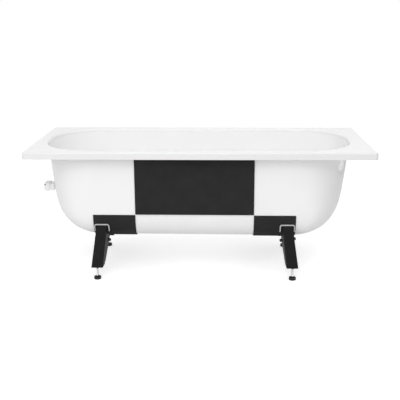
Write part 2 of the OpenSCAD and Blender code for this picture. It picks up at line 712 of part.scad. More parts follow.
tub_shell();
side_mat_front();
side_mat_back();
bottom_mat_left();
bottom_mat_right();
leg_hood(-1, -1);  // leg_hood_front_left
leg_hood(1, -1);  // leg_hood_front_right
leg_hood(-1, 1);  // leg_hood_back_left
leg_hood(1, 1);  // leg_hood_back_right
leg_lug(-1, -1);  // leg_lug_front_left
leg_lug(1, -1);  // leg_lug_front_right
leg_lug(-1, 1);  // leg_lug_back_left
leg_lug(1, 1);  // leg_lug_back_right
leg(-1, -1);  // leg_front_left
leg(1, -1);  // leg_front_right
leg(-1, 1);  // leg_back_left
leg(1, 1);  // leg_back_right
leg_bolts();
leg_bolt_nuts();
foot_bushes();
lock_nuts();
foot_stud(-1, -1);  // foot_stud_front_left
foot_stud(1, -1);  // foot_stud_front_right
foot_stud(-1, 1);  // foot_stud_back_left
foot_stud(1, 1);  // foot_stud_back_right
foot_pad(-1, -1);  // foot_pad_front_left
foot_pad(1, -1);  // foot_pad_front_right
foot_pad(-1, 1);  // foot_pad_back_left
foot_pad(1, 1);  // foot_pad_back_right
terminal_lug();
terminal_block();
terminal_cap();
terminal_screw();
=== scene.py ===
import bmesh
import bpy
import numpy as np
from mathutils import Euler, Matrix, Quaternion, Vector


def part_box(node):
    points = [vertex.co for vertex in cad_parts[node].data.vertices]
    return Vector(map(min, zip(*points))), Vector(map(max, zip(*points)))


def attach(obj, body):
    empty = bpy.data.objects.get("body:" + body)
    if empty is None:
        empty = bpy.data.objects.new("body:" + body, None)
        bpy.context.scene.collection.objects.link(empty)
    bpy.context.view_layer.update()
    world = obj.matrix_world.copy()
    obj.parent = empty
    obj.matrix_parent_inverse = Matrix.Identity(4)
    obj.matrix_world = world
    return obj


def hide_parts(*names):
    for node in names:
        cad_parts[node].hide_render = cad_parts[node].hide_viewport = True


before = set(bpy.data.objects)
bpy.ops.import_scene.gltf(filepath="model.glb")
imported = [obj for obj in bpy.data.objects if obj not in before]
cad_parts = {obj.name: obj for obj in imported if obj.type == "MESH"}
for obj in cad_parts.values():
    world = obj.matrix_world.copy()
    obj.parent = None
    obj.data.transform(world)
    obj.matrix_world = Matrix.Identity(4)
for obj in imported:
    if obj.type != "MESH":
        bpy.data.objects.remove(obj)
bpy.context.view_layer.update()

# The tub's shell: one sheet of steel, deep drawn into a basin under a flat rim, with the rim's edge
# turned down all round, then enamelled white, in two coats on its face and one on its back. Its
# surface is worked out as the pressing tool's is: leaning walls, rounded into the bottom and the ends.
RIM_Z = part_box("tub_shell")[1][2]
HALF_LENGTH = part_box("tub_shell")[1][0]
HALF_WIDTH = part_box("tub_shell")[1][1]
SHEET = 0.0022
RIM_CORNER = 0.014
LIP_ROUND = 0.008
LIP_DROP = 0.0305
BEND = 0.014
DEPTH = 0.3995
FALL = 0.0085
FALL_POWER = 4
# Each wall: ledge at the rim, lean in degrees, reach and height of the curve to the bottom, its power
SIDE_WALL = (0.0515, 4.7, 0.087, 0.115, 2.26)
LEFT_WALL = (0.0525, 6.6, 0.148, 0.176, 2.24)
RIGHT_WALL = (0.073, 7.6, 0.1595, 0.203, 2.65)
LEFT_ROUNDING = (0.269, 0.110)
RIGHT_ROUNDING = (0.273, 0.119)
PLAN_POWER = (2.4, 1.9)


def inset(down, inside, wall):
    """Distance of a wall from the rim's edge at depth down: ledge plus lean, plus a superellipse
    quarter down to the bottom. inside is how far the surface lies within the outer one."""
    ledge, lean, reach, rise, power = wall
    height = np.clip((down - DEPTH + rise) / (rise - inside), 0, 1)
    share = 1 - (1 - height ** power) ** (1 / power)
    return ledge + inside + np.tan(np.radians(lean)) * down + (reach - inside) * share


def plan(share, inside):
    """The basin's plan at a share of its depth: both ends, where their rounding starts, the half
    width and the rounding's power, each between its value at the rim and at the bottom."""
    down = (DEPTH - inside) * share
    left = -HALF_LENGTH + inset(down, inside, LEFT_WALL)
    right = HALF_LENGTH - inset(down, inside, RIGHT_WALL)
    left_start = left + LEFT_ROUNDING[0] + (LEFT_ROUNDING[1] - LEFT_ROUNDING[0]) * share
    right_start = right - RIGHT_ROUNDING[0] - (RIGHT_ROUNDING[1] - RIGHT_ROUNDING[0]) * share
    half = HALF_WIDTH - inset(down, inside, SIDE_WALL)
    power = PLAN_POWER[0] + (PLAN_POWER[1] - PLAN_POWER[0]) * share
    return left, left_start, right, right_start, half, power


def half_width(x, outline):
    """Half the plan's width at x: full between the roundings, a superellipse quarter in each end."""
    left, left_start, right, right_start, half, power = outline
    to_left = (left_start - x) / (left_start - left)
    to_right = (x - right_start) / (right - right_start)
    reach = np.clip(np.maximum(to_left, to_right), 0, 1)
    return half * (1 - reach ** power) ** (1 / power)


def surface_z(x, share, inside):
    """Height of the surface: a share of the depth under the rim, less the bottom's fall to the drain."""
    return RIM_Z - (DEPTH - inside) * share - FALL * x / (2 * HALF_LENGTH) * share ** FALL_POWER


def rows_down(first, last, count):
    """Shares of the depth whose arc sines are evenly spaced, so that they crowd near the bottom."""
    return np.sin(np.linspace(np.arcsin(first), np.arcsin(last), count))


# The straight stretch is where the bottom mats lie, with closer stations at the drain. Mats and drain
# are placed from the two ends of the flat bottom
MAT_LEFT_IN = (0.037, 0.222)
MAT_RIGHT_IN = (0.229, 0.046)
DRAIN_IN = 0.066
DENSE_REACH = 0.055
FLAT_LEFT = -HALF_LENGTH + inset(DEPTH, 0, LEFT_WALL)
FLAT_RIGHT = HALF_LENGTH - inset(DEPTH, 0, RIGHT_WALL)
MAT_LEFT = (FLAT_LEFT + MAT_LEFT_IN[0], FLAT_LEFT + MAT_LEFT_IN[1])
MAT_RIGHT = (FLAT_RIGHT - MAT_RIGHT_IN[0], FLAT_RIGHT - MAT_RIGHT_IN[1])
DRAIN_X = FLAT_RIGHT - DRAIN_IN
dense_from = DRAIN_X - DENSE_REACH
stations = np.concatenate([np.linspace(MAT_LEFT[0], dense_from, 46),
                           np.linspace(dense_from, MAT_RIGHT[1], 26)[1:]])
left_steps = np.linspace(0, 1, 49)[:-1]
right_steps = np.linspace(1, 0, 97)[1:]


def ring(half):
    """A closed ring from its front half: the half mirrored in y = 0 and run back."""
    back = half[:, -2:0:-1] * [1, -1, 1]
    return np.concatenate([half, back], axis=1)


def basin_rings(share, inside, grow=0.0, up=0.0):
    """Rings of the basin at shares of its depth. grow widens the plan all round, up lifts it."""
    share, grow, up = (np.atleast_1d(v).astype(float)[:, None] for v in (share, grow, up))
    left, left_start, right, right_start, half, power = plan(share, inside)
    outline = (left - grow, left_start, right + grow, right_start, half + grow, power)
    count = max(len(share), len(grow))
    x = np.concatenate([outline[0] + (stations[0] - outline[0]) * left_steps ** 2,
                        np.broadcast_to(stations, (count, len(stations))),
                        outline[2] - (outline[2] - stations[-1]) * right_steps ** 2], axis=1)
    z = surface_z(x, share, inside) + up
    return ring(np.stack([x, -half_width(x, outline), z], axis=-1))


def rim_rings(off, down):
    """Rings of the rim's outline, a rectangle with round corners, off inside it and down below it."""
    off, down = (np.atleast_1d(v).astype(float)[:, None] for v in (off, down))

    def end(steps, station):
        third = 3 * steps
        turn = np.clip(third - 1, 0, 1) * np.pi / 2
        corner = np.array([HALF_LENGTH, HALF_WIDTH]) - RIM_CORNER
        radius = RIM_CORNER - off
        x = corner[0] + radius * np.cos(turn) + (abs(station) - corner[0]) * np.clip(third - 2, 0, 1)
        return np.sign(station) * x, corner[1] * np.clip(third, 0, 1) + radius * np.sin(turn)

    left_x, left_y = end(left_steps, stations[0])
    right_x, right_y = end(right_steps, stations[-1])
    middle = np.broadcast_to(stations, (len(off), len(stations)))
    x = np.concatenate([left_x, middle, right_x], axis=1)
    y = np.concatenate([left_y, np.broadcast_to(HALF_WIDTH - off, middle.shape), right_y], axis=1)
    return ring(np.stack([x, -y, np.broadcast_to(RIM_Z - down, x.shape)], axis=-1))


def grid_faces(rows, columns, closed=False):
    """Quads between neighbouring lines of a grid, wrapped round where it is closed."""
    row = np.arange(rows - 1)[:, None] * columns
    column = np.arange(columns if closed else columns - 1)[None, :]
    after = (column + 1) % columns
    return np.stack([row + column, row + after, row + columns + after, row + columns + column],
                    axis=-1).reshape(-1, 4)


WELD_REACH = 1e-6


def mesh_piece(name, points, faces, sharp=35.0, kinds=None):
    """A new object from points and faces, with doubles merged, faces outwards and crisp edges where
    neighbouring faces meet at more than sharp degrees. kinds gives each face its material slot."""
    mesh = bpy.data.meshes.new(name)
    mesh.from_pydata(np.asarray(points).reshape(-1, 3).tolist(), [], np.asarray(faces).tolist())
    if kinds is not None:
        mesh.polygons.foreach_set("material_index", kinds)
    work = bmesh.new()
    work.from_mesh(mesh)
    bmesh.ops.remove_doubles(work, verts=work.verts, dist=WELD_REACH)
    bmesh.ops.recalc_face_normals(work, faces=work.faces)
    work.to_mesh(mesh)
    work.free()
    mesh.polygons.foreach_set("use_smooth", np.ones(len(mesh.polygons), dtype=bool))
    mesh.set_sharp_from_angle(angle=np.radians(sharp))
    piece = bpy.data.objects.new(name, mesh)
    bpy.context.scene.collection.objects.link(piece)
    return piece


def joined(parts):
    """Several (points, faces) as one, with the later faces counted on."""
    points, faces, count = [], [], 0
    for part_points, part_faces in parts:
        part_points = np.asarray(part_points).reshape(-1, 3)
        points.append(part_points)
        faces.append(np.asarray(part_faces) + count)
        count += len(part_points)
    return np.concatenate(points), np.concatenate(faces)


def cut_out(piece, cutters):
    """Takes the closed cutters, given as (points, faces), out of a piece for good."""
    tool = mesh_piece(piece.name + "_cutter", *joined(cutters))
    cut = piece.modifiers.new("cut", "BOOLEAN")
    cut.object = tool
    cut.operation = "DIFFERENCE"
    cut.solver = "EXACT"
    finish_mesh(piece)
    bpy.data.objects.remove(tool)


def finish_mesh(piece):
    """Applies a piece's modifiers to its mesh."""
    result = bpy.data.meshes.new_from_object(piece.evaluated_get(bpy.context.evaluated_depsgraph_get()))
    piece.modifiers.clear()
    piece.data = result


def cylinder(centre, axis, radius, length, count=64):
    """A closed cylinder about centre along axis, as quads: rings of the ends, then of their centres."""
    axis = np.asarray(axis, float) / np.linalg.norm(axis)
    side = np.cross(axis, [0, 1, 0] if abs(axis[1]) < 0.9 else [1, 0, 0])
    side /= np.linalg.norm(side)
    turn = np.linspace(0, 2 * np.pi, count, endpoint=False)[None, :, None]
    reach = np.array([0, radius, radius, 0])[:, None, None]
    along = np.array([-0.5, -0.5, 0.5, 0.5])[:, None, None] * length
    points = centre + along * axis + reach * (np.cos(turn) * side + np.sin(turn) * np.cross(axis, side))
    return points, grid_faces(4, count, closed=True)


def smooth_step(value, low, high):
    """0 below low, 1 above high, and a smooth S between them."""
    t = np.clip((value - low) / (high - low), 0, 1)
    return t * t * (3 - 2 * t)


# The drain's dish in the lowest part of the basin, and the overflow's flat seat in the rounded drain
# end. A round is how far the rounding of an edge reaches to either side of its radius
DISH_RADIUS = 0.043
DISH_ROUND = (0.006, 0.003)
DISH_DEPTH = 0.008
LOWEST_SHARE = 0.8
HOLE_RADIUS = 0.026
OVERFLOW_DOWN = 0.090
OVERFLOW_SHARE = OVERFLOW_DOWN / DEPTH
OVERFLOW_Y = -0.175
SEAT_RADIUS = 0.038
SEAT_ROUND = (0.003, 0.005)
SEAT_REACH = 0.03
SEAT_SINK = 0.008
SEAT_TURN = np.radians(8)
# Steps down and along y, from which the end wall's direction at the overflow is found
SHARE_STEP = 0.01
Y_STEP = 1e-5


def end_point(y, share):
    """A point of the rounded drain end at y and a share of the depth."""
    left, left_start, right, right_start, half, power = plan(share, 0)
    x = right_start + (right - right_start) * (1 - (abs(y) / half) ** power) ** (1 / power)
    return np.array([x, y, surface_z(x, share, 0)])


overflow_at = end_point(OVERFLOW_Y, OVERFLOW_SHARE)
overflow_out = np.cross(end_point(OVERFLOW_Y, OVERFLOW_SHARE + SHARE_STEP) - overflow_at,
                        end_point(OVERFLOW_Y + Y_STEP, OVERFLOW_SHARE) - overflow_at)
overflow_out /= np.linalg.norm(overflow_out)
seat_at = overflow_at - SEAT_SINK * overflow_out
turn_cos, turn_sin = np.cos(SEAT_TURN), np.sin(SEAT_TURN)
seat_out = np.array([[turn_cos, turn_sin, 0], [-turn_sin, turn_cos, 0], [0, 0, 1]]) @ overflow_out


def pressed(points, inside):
    """Presses the dish and the seat into the surface: near the drain points sink by the dish's
    depth, and near the overflow they move to the seat's plane, each with a rounded edge."""
    from_drain = np.hypot(points[..., 0] - DRAIN_X, points[..., 1])
    near_bottom = points[..., 2] < RIM_Z - LOWEST_SHARE * DEPTH
    dish = 1 - smooth_step(from_drain, DISH_RADIUS - DISH_ROUND[0], DISH_RADIUS + DISH_ROUND[1])
    points[..., 2] -= near_bottom * DISH_DEPTH * dish
    offset = points - seat_at
    height = offset @ seat_out
    from_axis = np.linalg.norm(offset - height[..., None] * seat_out, axis=-1)
    seat = 1 - smooth_step(from_axis, SEAT_RADIUS - SEAT_ROUND[0], SEAT_RADIUS + SEAT_ROUND[1])
    seat *= np.abs(height) < SEAT_REACH
    return points + (seat * (-inside - height))[..., None] * seat_out


# Rows down the wall lie close together round the overflow's seat and near the bottom, and lines over
# the bottom do at the dish
SEAT_ROWS = (0.11, 0.345)
DISH_SPAN = 0.3
CUT_EDGE = 0.0004
bend_share = BEND / DEPTH
wall_shares = np.concatenate([np.linspace(bend_share, SEAT_ROWS[0], 6), np.linspace(*SEAT_ROWS, 34)[1:],
                              rows_down(SEAT_ROWS[1], 1, 38)[1:]])
quarter = np.linspace(0, np.pi / 2, 9)
rising = quarter[1:]
falling = quarter[:0:-1]
backwards = quarter[::-1]
inner_lip = LIP_ROUND - SHEET
outer_bend = BEND - SHEET
inner_rings = np.concatenate([
    basin_rings(wall_shares[::-1], SHEET),
    basin_rings(bend_share, SHEET, BEND * (1 - np.cos(rising)), BEND * np.sin(rising) - SHEET * bend_share)])
lip_rings = np.concatenate([
    rim_rings(LIP_ROUND * (1 - np.sin(quarter)), LIP_ROUND * (1 - np.cos(quarter))),
    rim_rings([0, CUT_EDGE, SHEET - CUT_EDGE, SHEET], LIP_DROP - np.array([CUT_EDGE, 0, 0, CUT_EDGE])),
    rim_rings(SHEET + inner_lip * (1 - np.sin(backwards)), SHEET + inner_lip * (1 - np.cos(backwards)))])
outer_rings = np.concatenate([
    basin_rings(bend_share, 0, outer_bend * (1 - np.cos(falling)), outer_bend * np.sin(falling)),
    basin_rings(wall_shares, 0)])


def bottom_patch(inside):
    """The flat bottom: lines across it from front to back, closer together at the drain."""
    half = basin_rings(1, inside)[0][:len(left_steps) + len(stations) + len(right_steps)]
    across = np.concatenate([np.linspace(-1, -DISH_SPAN, 7),
                             np.linspace(-DISH_SPAN, DISH_SPAN, 32)[1:-1],
                             np.linspace(DISH_SPAN, 1, 7)])
    points = np.repeat(half[:, None, :], len(across), axis=1)
    points[..., 1] *= -across
    return points, grid_faces(len(half), len(across))


all_rings = np.concatenate([pressed(inner_rings, SHEET), lip_rings, pressed(outer_rings, 0)])
inner_bottom, bottom_faces = bottom_patch(SHEET)
outer_bottom, _ = bottom_patch(0)
ring_faces = grid_faces(len(all_rings), all_rings.shape[1], closed=True)
# Enamel of each face, ring by ring: 0 in the basin, 3 on its upper bend, 1 on the rim, 2 round the
# rim's outer bend, 3 down the lip, 4 on the back. The rim's own reaches a few rings into both bends
# Kinds 1, 2 and 3 are darker copies of the basin's enamel, as painted shade, and kind 4 is partly painted
# light
RIM_INTO_BASIN = 3
RIM_INTO_LIP = 2
starts = [len(wall_shares), len(inner_rings) - RIM_INTO_BASIN, len(inner_rings) + RIM_INTO_LIP,
          len(inner_rings) + len(quarter), len(inner_rings) + len(lip_rings)]
ring_of_face = np.arange(len(ring_faces)) // all_rings.shape[1]
ring_kinds = np.array([0, 3, 1, 2, 3, 4])[np.searchsorted(starts, ring_of_face + 1, side="right")]
bottom_kinds = np.repeat([0, 4], len(bottom_faces))
shell_parts = [(all_rings, ring_faces), (pressed(inner_bottom, SHEET), bottom_faces),
               (pressed(outer_bottom, 0), bottom_faces)]
shell = mesh_piece("enamelled_shell", *joined(shell_parts),
                   kinds=np.concatenate([ring_kinds, bottom_kinds]).astype(np.int32))
DRILL_LENGTH = 0.03
drain_low = np.array([DRAIN_X, 0, surface_z(DRAIN_X, 1, 0) - DISH_DEPTH])
cut_out(shell, [cylinder(drain_low, [0, 0, 1], HOLE_RADIUS, DRILL_LENGTH),
                cylinder(seat_at, seat_out, HOLE_RADIUS, DRILL_LENGTH)])


def group(name, inputs, outputs):
    """A shader node group with named sockets, each input with its value, and its in and out nodes."""
    tree = bpy.data.node_groups.new(name, "ShaderNodeTree")
    for socket, kind, value in inputs:
        made = tree.interface.new_socket(socket, in_out="INPUT", socket_type=kind)
        if value is not None:
            made.default_value = value
    for socket, kind in outputs:
        tree.interface.new_socket(socket, in_out="OUTPUT", socket_type=kind)
    return tree, tree.nodes.new("NodeGroupInput"), tree.nodes.new("NodeGroupOutput")


def node(tree, kind, links=(), **values):
    """A node of a tree with settings and socket values by name, and its inputs linked."""
    made = tree.nodes.new("ShaderNode" + kind)
    for key, value in values.items():
        if key in made.bl_rna.properties:
            setattr(made, key, value)
        else:
            made.inputs[key.replace("_", " ")].default_value = value
    for socket, source in links:
        tree.links.new(source, made.inputs[socket])
    return made


# Nearly all values of Blender's noise lie between these
NOISE_LOW = 0.3
NOISE_HIGH = 0.7
# Slow drift of tone over a finish, as every coat and rolled sheet has
drift, drift_in, drift_out = group(
    "tone_drift", [("Vector", "NodeSocketVector", None), ("Colour", "NodeSocketColor", None),
                   ("Scale", "NodeSocketFloat", 6.0), ("Amount", "NodeSocketFloat", 0.02)],
    [("Colour", "NodeSocketColor")])
drift_noise = node(drift, "TexNoise", [("Vector", drift_in.outputs["Vector"]),
                                       ("Scale", drift_in.outputs["Scale"])], Detail=4.0)
drift_span = node(drift, "MapRange", [("Value", drift_noise.outputs["Fac"])],
                  From_Min=NOISE_LOW, From_Max=NOISE_HIGH, To_Min=-1.0, To_Max=1.0)
drift_size = node(drift, "Math", [(0, drift_span.outputs["Result"]), (1, drift_in.outputs["Amount"])],
                  operation="MULTIPLY")
drift_gain = node(drift, "Math", [(0, drift_size.outputs["Value"])], operation="ADD")
drift_gain.inputs[1].default_value = 1.0
drift_colour = node(drift, "VectorMath", [(0, drift_in.outputs["Colour"]),
                                          ("Scale", drift_gain.outputs["Value"])], operation="SCALE")
drift.links.new(drift_colour.outputs["Vector"], drift_out.inputs["Colour"])

# Fine relief of a finish: a soft wave, like orange peel, with grains on it
relief, relief_in, relief_out = group(
    "fine_relief", [("Vector", "NodeSocketVector", None), ("Wave Scale", "NodeSocketFloat", 90.0),
                    ("Grain Scale", "NodeSocketFloat", 900.0), ("Grain Share", "NodeSocketFloat", 0.3)],
    [("Height", "NodeSocketFloat"), ("Grain", "NodeSocketFloat")])
wave = node(relief, "TexNoise", [("Vector", relief_in.outputs["Vector"]),
                                 ("Scale", relief_in.outputs["Wave Scale"])], Detail=2.0)
grain = node(relief, "TexNoise", [("Vector", relief_in.outputs["Vector"]),
                                  ("Scale", relief_in.outputs["Grain Scale"])], Detail=3.0)
relief_mix = node(relief, "Mix", [("Factor", relief_in.outputs["Grain Share"]),
                                  ("A", wave.outputs["Fac"]), ("B", grain.outputs["Fac"])])
relief.links.new(relief_mix.outputs["Result"], relief_out.inputs["Height"])
relief.links.new(grain.outputs["Fac"], relief_out.inputs["Grain"])


def finish(name, colour, roughness, tone, relief_scales, grain_share, depth, spread=0.1, metallic=0.0,
           **sockets):
    """A coated or moulded surface on Object coordinates. Its colour drifts by tone, a scale and an
    amount. Its relief, depth deep, is a wave with grains at their two scales, and spread is how far
    the roughness follows the grains."""
    material = bpy.data.materials.new(name)
    material.use_nodes = True
    tree = material.node_tree
    shader = tree.nodes["Principled BSDF"]
    place = node(tree, "TexCoord").outputs["Object"]
    drifting = node(tree, "Group", node_tree=drift, Colour=(*colour, 1), Scale=tone[0], Amount=tone[1])
    fine = node(tree, "Group", node_tree=relief, Wave_Scale=relief_scales[0], Grain_Scale=relief_scales[1],
                Grain_Share=grain_share)
    tree.links.new(place, drifting.inputs["Vector"])
    tree.links.new(place, fine.inputs["Vector"])
    rough = node(tree, "MapRange", [("Value", fine.outputs["Grain"])],
                 From_Min=NOISE_LOW, From_Max=NOISE_HIGH,
                 To_Min=roughness * (1 - spread), To_Max=roughness * (1 + spread))
    bump = node(tree, "Bump", [("Height", fine.outputs["Height"])], Strength=1.0, Distance=depth)
    tree.links.new(drifting.outputs["Colour"], shader.inputs["Base Color"])
    tree.links.new(rough.outputs["Result"], shader.inputs["Roughness"])
    tree.links.new(bump.outputs["Normal"], shader.inputs["Normal"])
    shader.inputs["Metallic"].default_value = metallic
    for key, value in sockets.items():
        shader.inputs[key.replace("_", " ")].default_value = value
    return material


def dress(piece, material, body, *nodes, slot=None):
    """Gives a piece its material and its body, and says which CAD nodes it stands for."""
    piece.data.materials.append(material)
    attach(piece, body)
    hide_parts(*nodes)


# The basin's enamel is white and glossy. The rim gets a darker copy of the same enamel, the lip and the
# basin's upper bend a darker one still, and the rim's outer bend the darkest, all as painted shade. The
# back has one coat, less glossy and less even, and its colour is a little lighter than the basin's, as
# painted light.
GLOSS = {"tone": (3.0, 0.006), "relief_scales": (40.0, 700.0), "grain_share": 0.25, "depth": 0.00006,
         "spread": 0.2, "Specular_IOR_Level": 0.3}
dress(shell, finish("basin_enamel", (0.915, 0.915, 0.915), 0.13, **GLOSS), "tub", "tub_shell", slot="enamel")
shell.data.materials.append(finish("rim_enamel_painted_shade", (0.865, 0.865, 0.865), 0.13, **GLOSS))
shell.data.materials.append(finish("bend_enamel_painted_shade", (0.78, 0.78, 0.78), 0.15, **GLOSS))
shell.data.materials.append(finish("lip_enamel_painted_shade", (0.81, 0.81, 0.81), 0.15, **GLOSS))
shell.data.materials.append(finish("back_enamel_and_painted_light", (0.93, 0.93, 0.93), 0.46, tone=(5.0, 0.012), spread=0.15,
                                   relief_scales=(70.0, 900.0), grain_share=0.4, depth=0.00012))

# Sound mats: sheets of bitumen felt, cut to size and glued to the outside of the shell against
# the noise of running water. Two lie on the side walls, and two wrap the walls and the bottom.
GLUE = 0.0002
MAT_THICK = 0.0045
MAT_RISE = 0.1055
MAT_GAP = 0.005
MAT_TOP = 0.036
MAT_OFF = GLUE + MAT_THICK
MAT_EDGE = 0.0015
EDGE_SHARE = 0.45
EDGE_LINES = np.array([0, 0.0004, 0.001, 0.002, 0.004])
EVEN_ROWS_FROM = 0.02


def with_edges(low, high, count):
    """Evenly spaced values from low to high, with close ones at both ends for a rounded edge."""
    middle = np.linspace(low + EDGE_LINES[-1], high - EDGE_LINES[-1], count)[1:-1]
    return np.concatenate([low + EDGE_LINES, middle, high - EDGE_LINES[::-1]])


def edge_round(value):
    """Share of a mat's thickness at each value: all of it, but near both ends it falls by a quarter
    circle to the share at the cut edge."""
    edge = np.minimum(value - value[0], value[-1] - value)
    inner = np.clip(1 - edge / MAT_EDGE, 0, 1)
    return EDGE_SHARE + (1 - EDGE_SHARE) * np.sqrt(1 - inner ** 2)


def skin(inner, outer):
    """A closed skin between two grids of equal size: both sheets and the walls round their edges."""
    rows, columns = inner.shape[:2]
    edge = np.concatenate([np.arange(columns), np.arange(1, rows) * columns + columns - 1,
                           (rows - 1) * columns + np.arange(columns - 2, -1, -1),
                           np.arange(rows - 2, 0, -1) * columns])
    after = np.roll(edge, -1)
    size = rows * columns
    walls = np.stack([edge, after, after + size, edge + size], axis=-1)
    sheet = grid_faces(rows, columns)
    return (np.concatenate([inner.reshape(-1, 3), outer.reshape(-1, 3)]),
            np.concatenate([sheet[:, ::-1], sheet + size, walls]))


def mat_surface(x, share, thick):
    """The front wall's grid at a thickness that varies over the mat."""
    x, share = np.broadcast_arrays(x[:, None], share[None, :])
    inside = -GLUE - thick
    return np.stack([x, -half_width(x, plan(share, inside)), surface_z(x, share, inside)], axis=-1)


def mirrored(part):
    """(points, faces) mirrored in y = 0."""
    points, faces = part
    return points * [1, -1, 1], faces[:, ::-1]


side_x = with_edges(MAT_LEFT[1], MAT_RIGHT[0], 60)
side_share = with_edges(MAT_TOP, DEPTH - MAT_RISE - MAT_GAP, 40) / (DEPTH + MAT_OFF)
side_thick = MAT_THICK * edge_round(side_x)[:, None] * edge_round(side_share * DEPTH)[None, :]
side_skin = skin(mat_surface(side_x, side_share, 0), mat_surface(side_x, side_share, side_thick))
felt = finish("bitumen_felt", (0.019, 0.019, 0.020), 0.85, tone=(14.0, 0.12), spread=0.12,
              relief_scales=(260.0, 1500.0), grain_share=0.5, depth=0.00025, Specular_IOR_Level=0.2)
for name, part in (("side_mat_front", side_skin), ("side_mat_back", mirrored(side_skin))):
    dress(mesh_piece(name + "_felt", *part), felt, "tub", name, slot="mat")

# Places of the legs, which the mats are cut out for: hood, web and lug. Each hood's middle is so far
# inside its mat's outer edge, and the back left one stands further out
HOOD_IN = 0.0365
BACK_LEFT_IN = 0.0205
HOOD_X = {"front_left": MAT_LEFT[0] + HOOD_IN, "back_left": MAT_LEFT[0] + BACK_LEFT_IN,
          "front_right": MAT_RIGHT[1] - HOOD_IN, "back_right": MAT_RIGHT[1] - HOOD_IN}
HEAD_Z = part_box("leg_front_left")[1][2]
WEB_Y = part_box("leg_front_left")[0][1]
HOOD_WIDTH = 0.066
HOOD_WALL = 0.004
HOOD_CORNER = 0.010
HOOD_OVER_HEAD = 0.0045
ARM_UP = 0.031
HOOD_TOP = HEAD_Z + HOOD_OVER_HEAD
ARM_Z = RIM_Z - DEPTH + ARM_UP
CUT_ROOM = 0.0004
LUG_CUT_BELOW = 0.02
LUG_CUT_ABOVE = 0.05


def hood_path(grow, low):
    """An inverted U in front view from one arm's end over the round corners to the other's."""
    half = HOOD_WIDTH / 2 + grow
    radius = HOOD_CORNER + grow
    top = HOOD_TOP + grow
    turn = np.linspace(0, np.pi / 2, 9)
    right = np.stack([half - radius + radius * np.cos(turn), top - radius + radius * np.sin(turn)], axis=-1)
    right = np.concatenate([[[half, low]], right])
    return np.concatenate([right, right[::-1] * [-1, 1]])


def prism(outline, y_from, y_to):
    """A closed strip: an outline in front view carried along y, with its ends filled by quads
    between its first and its second half, which run side by side."""
    half = len(outline) // 2
    layer = [np.stack([outline[:, 0], np.broadcast_to(y, len(outline)), outline[:, 1]], axis=-1)
             for y in (y_from, y_to)]
    side = grid_faces(2, len(outline), closed=True)
    pair = np.stack([np.arange(half - 1), np.arange(1, half), len(outline) - 1 - np.arange(1, half),
                     len(outline) - 1 - np.arange(half - 1)], axis=-1)
    return np.concatenate(layer), np.concatenate([side, pair[:, ::-1], pair + len(outline)])


def hood_notch(corner):
    """The hood's strip, a little larger, as a cutter for the mat under it."""
    low = ARM_Z - CUT_ROOM
    outer, inner = hood_path(CUT_ROOM, low), hood_path(-HOOD_WALL - CUT_ROOM, low)
    outline = np.concatenate([outer, inner[::-1]]) + [HOOD_X[corner], 0]
    part = prism(outline, -HALF_WIDTH, -HALF_WIDTH / 2)
    return mirrored(part) if "back" in corner else part


def box_part(low, high):
    """A closed box as (points, faces)."""
    points = np.stack(np.meshgrid(*zip(low, high), indexing="ij"), axis=-1).reshape(-1, 3)
    return points, np.array([[0, 1, 3, 2], [4, 6, 7, 5], [0, 4, 5, 1],
                             [2, 3, 7, 6], [0, 2, 6, 4], [1, 5, 7, 3]])


def lug_notch(corner):
    """The lug's place in the mat round it, taken from the lug's own box."""
    low, high = (np.array(v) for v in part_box("leg_lug_" + corner))
    low[2] = RIM_Z - DEPTH - LUG_CUT_BELOW
    return box_part(low - CUT_ROOM, high + [CUT_ROOM, CUT_ROOM, LUG_CUT_ABOVE])


def bottom_mat(edges):
    """A mat from the front wall under the bottom to the back wall: wall rows, lines across, and
    the same mirrored. A far value after the last row keeps the mat at its full thickness there."""
    x = with_edges(*edges, 34)
    top_share = (DEPTH - MAT_RISE) / (DEPTH + MAT_OFF)
    share = np.concatenate([top_share + EDGE_LINES / DEPTH, rows_down(top_share + EVEN_ROWS_FROM, 1, 40)])
    rounded = edge_round(np.append(share, 2) * DEPTH)[:-1]
    across = np.linspace(1, -1, 40)[1:-1]

    def sheet_at(thickness):
        thick = thickness * edge_round(x)[:, None] * rounded[None, :]
        front = mat_surface(x, share, thick)
        back = front[:, ::-1] * [1, -1, 1]
        middle = np.repeat(front[:, -1:], len(across), axis=1)
        middle[..., 1] *= across
        return np.concatenate([front, middle, back], axis=1)

    return skin(sheet_at(0), sheet_at(MAT_THICK))


for name, edges, corners in (("bottom_mat_left", MAT_LEFT, ("front_left", "back_left")),
                             ("bottom_mat_right", MAT_RIGHT, ("front_right", "back_right"))):
    mat = mesh_piece(name + "_felt", *bottom_mat(edges))
    cutters = [notch(corner) for corner in corners for notch in (hood_notch, lug_notch)]
    if "right" in name:
        cutters.append(cylinder(drain_low, [0, 0, 1], DISH_RADIUS + MAT_OFF, 2 * DRILL_LENGTH))
    cut_out(mat, cutters)
    dress(mat, felt, "tub", name, slot="mat")

# Leg hoods: strips of steel bent to an inverted U and welded to the shell over each leg's head.
# They keep the ground coat of the enamel, a dull grey white.
HOOD_PROUD = 0.008
HOOD_EDGE = 0.0008
WELD = 0.0003


def soft_edges(piece, width):
    """Rounds a piece's crisp edges by width."""
    soft = piece.modifiers.new("soft_edges", "BEVEL")
    soft.width = width
    soft.segments = 2
    soft.limit_method = "ANGLE"
    soft.harden_normals = False


def wall_y(x, z, inside):
    """Y of the front wall's surface at x and z, with the share of the depth found by iteration."""
    share = (RIM_Z - z) / (DEPTH - inside)
    for _ in range(4):
        share = (RIM_Z - z - FALL * x / (2 * HALF_LENGTH) * share ** FALL_POWER) / (DEPTH - inside)
    share = np.clip(share, 0, 1)
    return -half_width(x, plan(share, inside))


